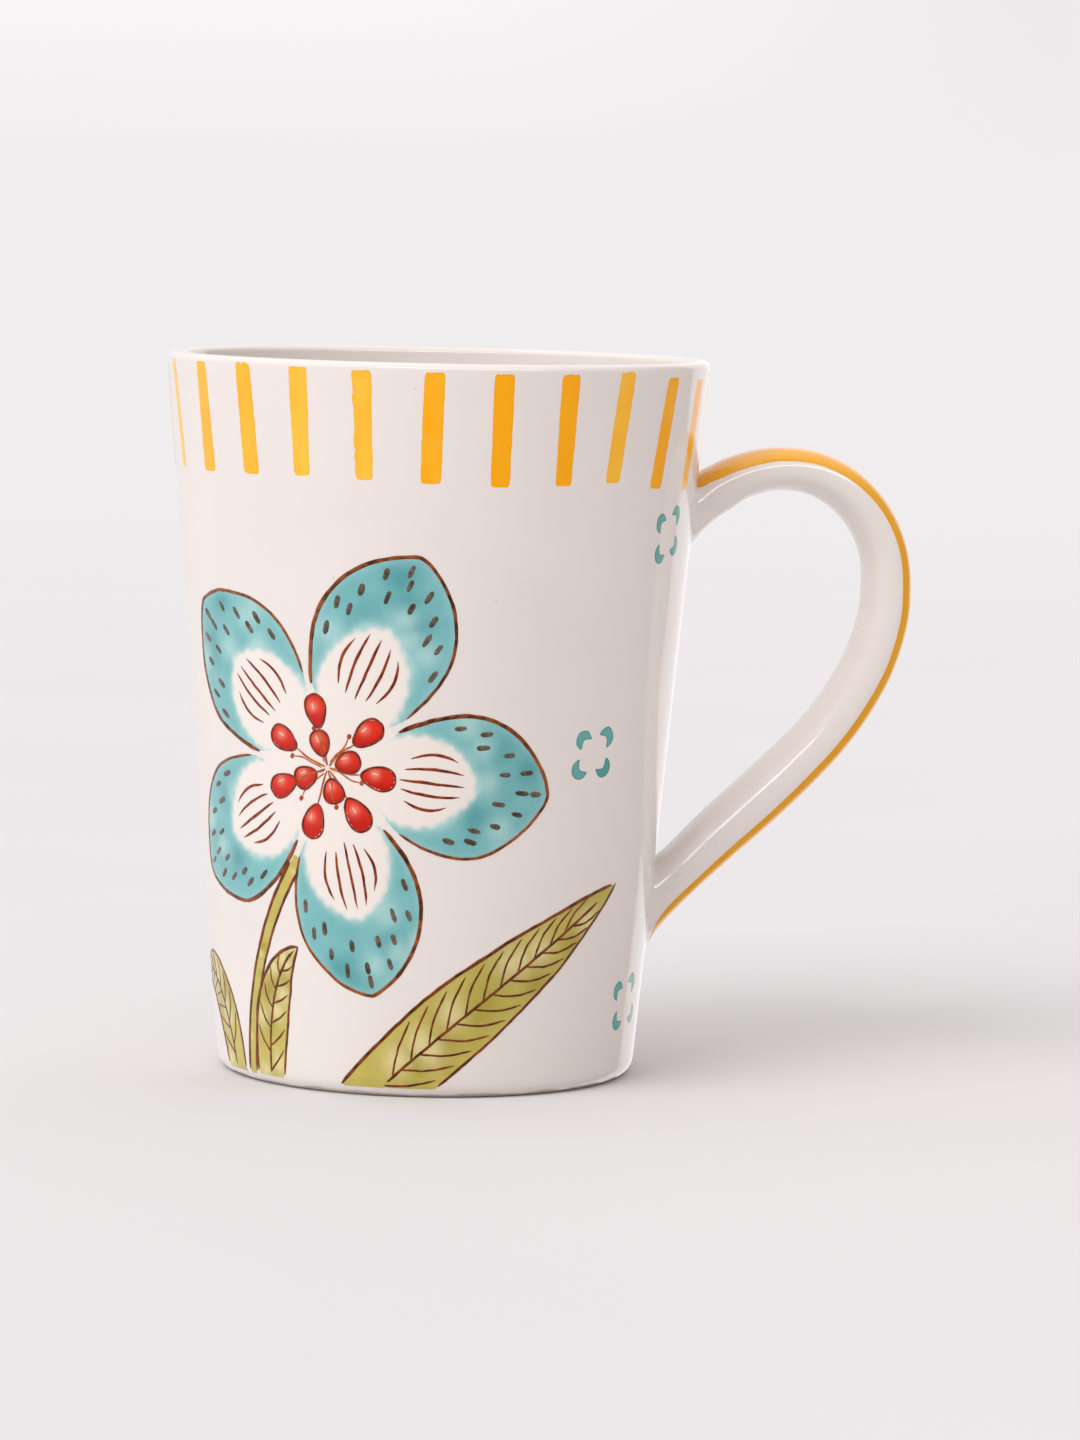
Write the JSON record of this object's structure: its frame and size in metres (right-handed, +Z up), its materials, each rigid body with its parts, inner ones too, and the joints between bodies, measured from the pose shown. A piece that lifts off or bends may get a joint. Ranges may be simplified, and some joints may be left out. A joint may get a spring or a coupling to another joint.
{
  "type": "painted stoneware mug",
  "caption": "Tapered stoneware mug with an ear-shaped strap handle, white glaze, upright strokes below the rim and a large spotted flower painted on the wall.",
  "frame": {"origin": "middle of the bounding box on the resting plane; the mug's own axis stands at x = -0.018 m", "axes": "+Z up, +X along the handle's reach, -Y is the side with the painted flower"},
  "size_m": [0.1276, 0.0915, 0.12],
  "materials": {
    "white_glazed_stoneware": "glossy clear glaze over a warm white body",
    "yellow_enamel": "glossy egg-yellow brushed paint under glaze",
    "turquoise_enamel": "glossy watery turquoise wash with brown drawing",
    "red_enamel": "glossy red-orange paint with dark outlines",
    "olive_enamel": "glossy olive green wash with brown drawing",
    "teal_enamel": "glossy teal stamped strokes"
  },
  "bodies": {
    "root": {"cup_body": "white_glazed_stoneware", "handle": "white_glazed_stoneware", "upper_slip_joint": "white_glazed_stoneware", "lower_slip_joint": "white_glazed_stoneware", "handle_band": "yellow_enamel", "rim_stripe_01": "yellow_enamel", "rim_stripe_02": "yellow_enamel", "rim_stripe_03": "yellow_enamel", "rim_stripe_04": "yellow_enamel", "rim_stripe_05": "yellow_enamel", "rim_stripe_06": "yellow_enamel", "rim_stripe_07": "yellow_enamel", "rim_stripe_08": "yellow_enamel", "rim_stripe_09": "yellow_enamel", "rim_stripe_10": "yellow_enamel", "rim_stripe_11": "yellow_enamel", "rim_stripe_12": "yellow_enamel", "rim_stripe_13": "yellow_enamel", "rim_stripe_14": "yellow_enamel", "rim_stripe_15": "yellow_enamel", "rim_stripe_16": "yellow_enamel", "rim_stripe_17": "yellow_enamel", "rim_stripe_18": "yellow_enamel", "rim_stripe_19": "yellow_enamel", "rim_stripe_20": "yellow_enamel", "rim_stripe_21": "yellow_enamel", "rim_stripe_22": "yellow_enamel", "rim_stripe_23": "yellow_enamel", "rim_stripe_24": "yellow_enamel", "rim_stripe_25": "yellow_enamel", "petal_upper_left": "turquoise_enamel", "petal_top": "turquoise_enamel", "petal_right": "turquoise_enamel", "petal_bottom": "turquoise_enamel", "petal_lower_left": "turquoise_enamel", "stamen_cluster": "red_enamel", "stem": "olive_enamel", "leaf_left": "olive_enamel", "leaf_middle": "olive_enamel", "leaf_right": "olive_enamel", "mark_upper_top_right": "teal_enamel", "mark_upper_top_left": "teal_enamel", "mark_upper_bottom_left": "teal_enamel", "mark_upper_bottom_right": "teal_enamel", "mark_middle_top_right": "teal_enamel", "mark_middle_top_left": "teal_enamel", "mark_middle_bottom_left": "teal_enamel", "mark_middle_bottom_right": "teal_enamel", "mark_lower_top_right": "teal_enamel", "mark_lower_top_left": "teal_enamel", "mark_lower_bottom_left": "teal_enamel", "mark_lower_bottom_right": "teal_enamel"}
  },
  "joints": []
}
